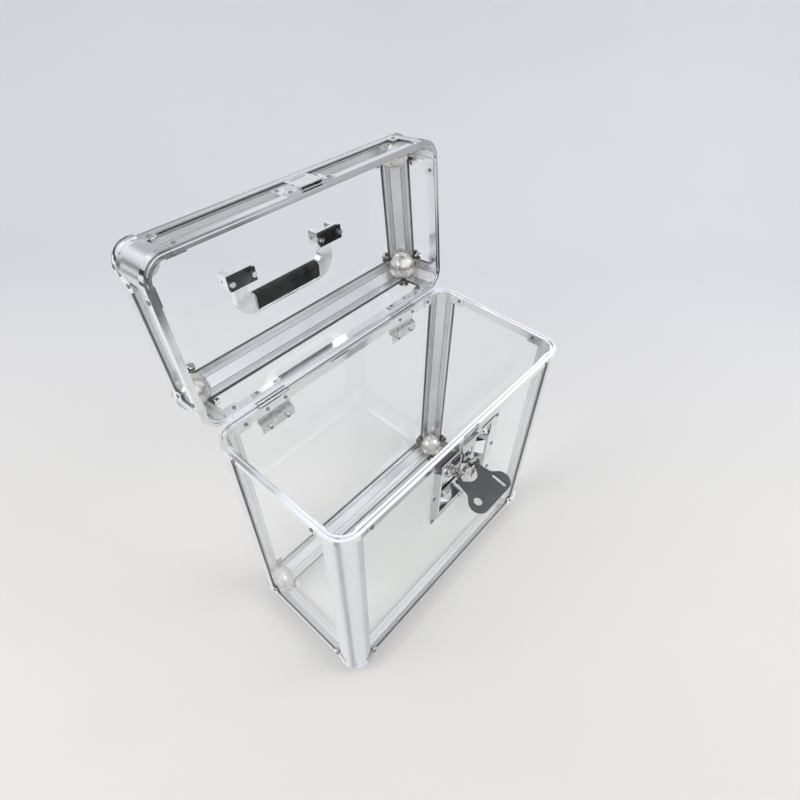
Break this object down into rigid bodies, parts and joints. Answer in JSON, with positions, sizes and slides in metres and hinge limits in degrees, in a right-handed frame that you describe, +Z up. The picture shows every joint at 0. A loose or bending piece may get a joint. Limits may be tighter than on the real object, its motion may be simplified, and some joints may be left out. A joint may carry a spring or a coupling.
{
  "type": "donation box",
  "caption": "Clear box in an aluminium frame with a hinged lid, a recessed twist latch with a wing key, and a drop handle on the lid.",
  "frame": {"origin": "centre of the base, on the plane of the four flats that the box stands on", "axes": "+X to the right along the box, -Y to the front (latch side), +Z up"},
  "size_m": [0.3688, 0.3285, 0.5141],
  "materials": {
    "acrylic": "clear, polished",
    "frame_aluminium": "satin anodised",
    "rim_aluminium": "bright anodised",
    "rim_corner_chrome": "polished",
    "cap_chrome": "polished",
    "ball_nickel": "pearl nickel plate",
    "rivet_steel": "bright zinc plate",
    "hinge_steel": "satin nickel plate",
    "latch_chrome": "polished",
    "hub_nickel": "warm nickel plate",
    "wing_grey": "matt powder coat",
    "handle_chrome": "polished",
    "plate_black": "dark polished plate",
    "screw_bright": "polished",
    "grip_black": "smooth, satin"
  },
  "bodies": {
    "case": {"front_panel": "acrylic", "back_panel": "acrylic", "left_panel": "acrylic", "right_panel": "acrylic", "base_panel": "acrylic", "post_front_left": "frame_aluminium", "post_front_right": "frame_aluminium", "post_back_left": "frame_aluminium", "post_back_right": "frame_aluminium", "base_edge_front": "frame_aluminium", "body_rim_front": "rim_aluminium", "base_edge_back": "frame_aluminium", "body_rim_back": "rim_aluminium", "base_edge_left": "frame_aluminium", "body_rim_left": "rim_aluminium", "base_edge_right": "frame_aluminium", "body_rim_right": "rim_aluminium", "body_rim_corners": "rim_corner_chrome", "base_corner_caps": "cap_chrome", "base_corner_balls": "ball_nickel", "body_rivets": "rivet_steel", "hinge_pins": "rivet_steel", "hinge_body_leaves": "hinge_steel", "latch_plate": "latch_chrome", "padlock_ring": "latch_chrome"},
    "lid": {"lid_top_panel": "acrylic", "lid_front_panel": "acrylic", "lid_back_panel": "acrylic", "lid_left_panel": "acrylic", "lid_right_panel": "acrylic", "lid_post_front_left": "frame_aluminium", "lid_post_front_right": "frame_aluminium", "lid_post_back_left": "frame_aluminium", "lid_post_back_right": "frame_aluminium", "lid_edge_front": "frame_aluminium", "lid_rim_front": "rim_aluminium", "lid_edge_back": "frame_aluminium", "lid_rim_back": "rim_aluminium", "lid_edge_left": "frame_aluminium", "lid_rim_left": "rim_aluminium", "lid_edge_right": "frame_aluminium", "lid_rim_right": "rim_aluminium", "lid_rim_corners": "rim_corner_chrome", "lid_corner_caps": "cap_chrome", "lid_corner_balls": "ball_nickel", "lid_rivets": "rivet_steel", "hinge_lid_leaves": "hinge_steel", "hinge_backing_plates": "hinge_steel", "keeper": "latch_chrome", "handle_brackets": "handle_chrome", "handle_plates": "plate_black", "handle_screws": "screw_bright", "handle_pins": "rivet_steel"},
    "handle": {"handle_frame": "handle_chrome", "handle_grip": "grip_black"},
    "hub": {"latch_hub": "hub_nickel", "wing_pin": "rivet_steel"},
    "wing": {"wing_key": "wing_grey"},
    "hook": {"latch_hook": "latch_chrome"}
  },
  "joints": [
    {"name": "lid_hinge", "type": "hinge", "parent": "case", "child": "lid", "pos_m": [0, 0.0947, 0.324], "axis": [1, 0, 0], "range_deg": [0, 96.45]},
    {"name": "handle_swing", "type": "hinge", "parent": "lid", "child": "handle", "pos_m": [-0.0025, 0.1826, 0.41534], "axis": [1, 0, 0], "range_deg": [-5, 95]},
    {"name": "hub_twist", "type": "hinge", "parent": "case", "child": "hub", "pos_m": [0, -0.096, 0.256], "axis": [0, -1, 0], "range_deg": [0, 180]},
    {"name": "wing_fold", "type": "hinge", "parent": "hub", "child": "wing", "pos_m": [0, -0.096, 0.256], "axis": [-1, 0, 0], "range_deg": [0, 101]},
    {"name": "hook_rise", "type": "slide", "parent": "case", "child": "hook", "axis": [0, 0, 1], "range_m": [0, 0.024]}
  ],
  "couplings": [
    {"joint": "hook_rise", "follows": "hub_twist", "m_per_rad": 0.0076}
  ]
}
